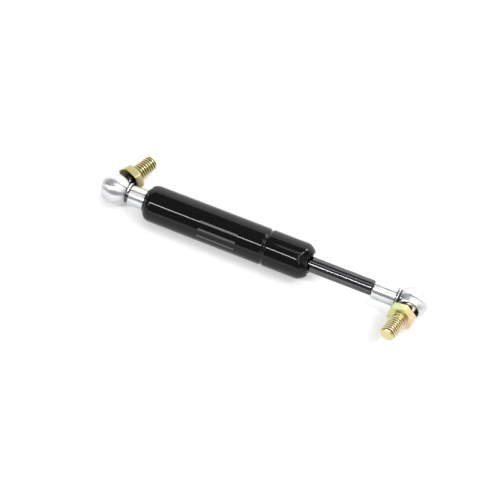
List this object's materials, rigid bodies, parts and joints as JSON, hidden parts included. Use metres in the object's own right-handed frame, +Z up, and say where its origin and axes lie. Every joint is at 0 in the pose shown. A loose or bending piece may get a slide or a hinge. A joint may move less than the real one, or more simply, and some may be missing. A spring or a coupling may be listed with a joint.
{
  "type": "gas strut stay",
  "caption": "Short gas strut with a black cylinder, dark rod and a ball socket with a threaded ball stud at each end, to hold up a lid, sash or shutter.",
  "frame": {"origin": "bottom centre of the strut's box as it lies on a surface, 9.5 mm below the strut's axis", "axes": "+X along the strut from the base ball to the rod ball, +Y to the side that the base stud points to, +Z up"},
  "size_m": [0.1746, 0.0498, 0.0208],
  "materials": {
    "black_paint": "high-gloss black paint on steel tube",
    "zinc_plate": "bright silver zinc plate",
    "yellow_zinc": "yellow passivated zinc with a slight rainbow sheen",
    "nitrided_steel": "polished dark nitrided steel",
    "spring_steel": "zinc-plated spring wire",
    "bare_steel": "turned bare steel",
    "bronze": "sintered bronze",
    "rubber": "black nitrile rubber"
  },
  "bodies": {
    "cylinder": {"cylinder_tube": "black_paint", "base_plug": "bare_steel", "base_plug_seal": "rubber", "seal_support_washer": "bare_steel", "rod_seal": "rubber", "rod_guide": "bare_steel", "guide_bush": "bronze", "base_ball_socket": "zinc_plate"},
    "piston_seal": {"piston_ring": "rubber"},
    "rod": {"piston_rod": "nitrided_steel", "piston_front_washer": "bare_steel", "piston": "bare_steel", "piston_back_washer": "bare_steel", "rod_ball_socket": "zinc_plate"},
    "base_ring": {"base_snap_ring": "spring_steel"},
    "base_stud": {"base_ball_stud": "yellow_zinc"},
    "base_clip": {"base_safety_clip": "spring_steel"},
    "rod_ring": {"rod_snap_ring": "spring_steel"},
    "rod_stud": {"rod_ball_stud": "yellow_zinc"},
    "rod_clip": {"rod_safety_clip": "spring_steel"}
  },
  "joints": [
    {"name": "rod_slide", "type": "slide", "parent": "cylinder", "child": "piston_seal", "axis": [1, 0, 0], "range_m": [-0.03, 0], "stiffness_N_per_m": 300, "springref_m": 0.2},
    {"name": "rod_spin", "type": "hinge", "parent": "piston_seal", "child": "rod", "pos_m": [0, 0.00016, 0.0095], "axis": [1, 0, 0], "continuous": true},
    {"name": "base_stud_swivel", "type": "hinge", "parent": "cylinder", "child": "base_ring", "pos_m": [-0.07925, 0.00016, 0.0095], "axis": [0, 0.9781, -0.2079], "continuous": true},
    {"name": "base_stud_tilt", "type": "hinge", "parent": "base_ring", "child": "base_stud", "pos_m": [-0.07925, 0.00016, 0.0095], "axis": [0, 0.2079, 0.9781], "range_deg": [0, 40]},
    {"name": "base_clip_lift", "type": "hinge", "parent": "cylinder", "child": "base_clip", "pos_m": [-0.07405, 0.00398, 0.00869], "axis": [0, 0.2079, 0.9781], "range_deg": [0, 30]},
    {"name": "rod_stud_swivel", "type": "hinge", "parent": "rod", "child": "rod_ring", "pos_m": [0.07925, 0.00016, 0.0095], "axis": [0, -0.9511, 0.309], "continuous": true},
    {"name": "rod_stud_tilt", "type": "hinge", "parent": "rod_ring", "child": "rod_stud", "pos_m": [0.07925, 0.00016, 0.0095], "axis": [0, 0.309, 0.9511], "range_deg": [-10.5, 29.5]},
    {"name": "rod_clip_lift", "type": "hinge", "parent": "rod", "child": "rod_clip", "pos_m": [0.07405, -0.00354, 0.0107], "axis": [0, 0.309, 0.9511], "range_deg": [0, 30]}
  ]
}
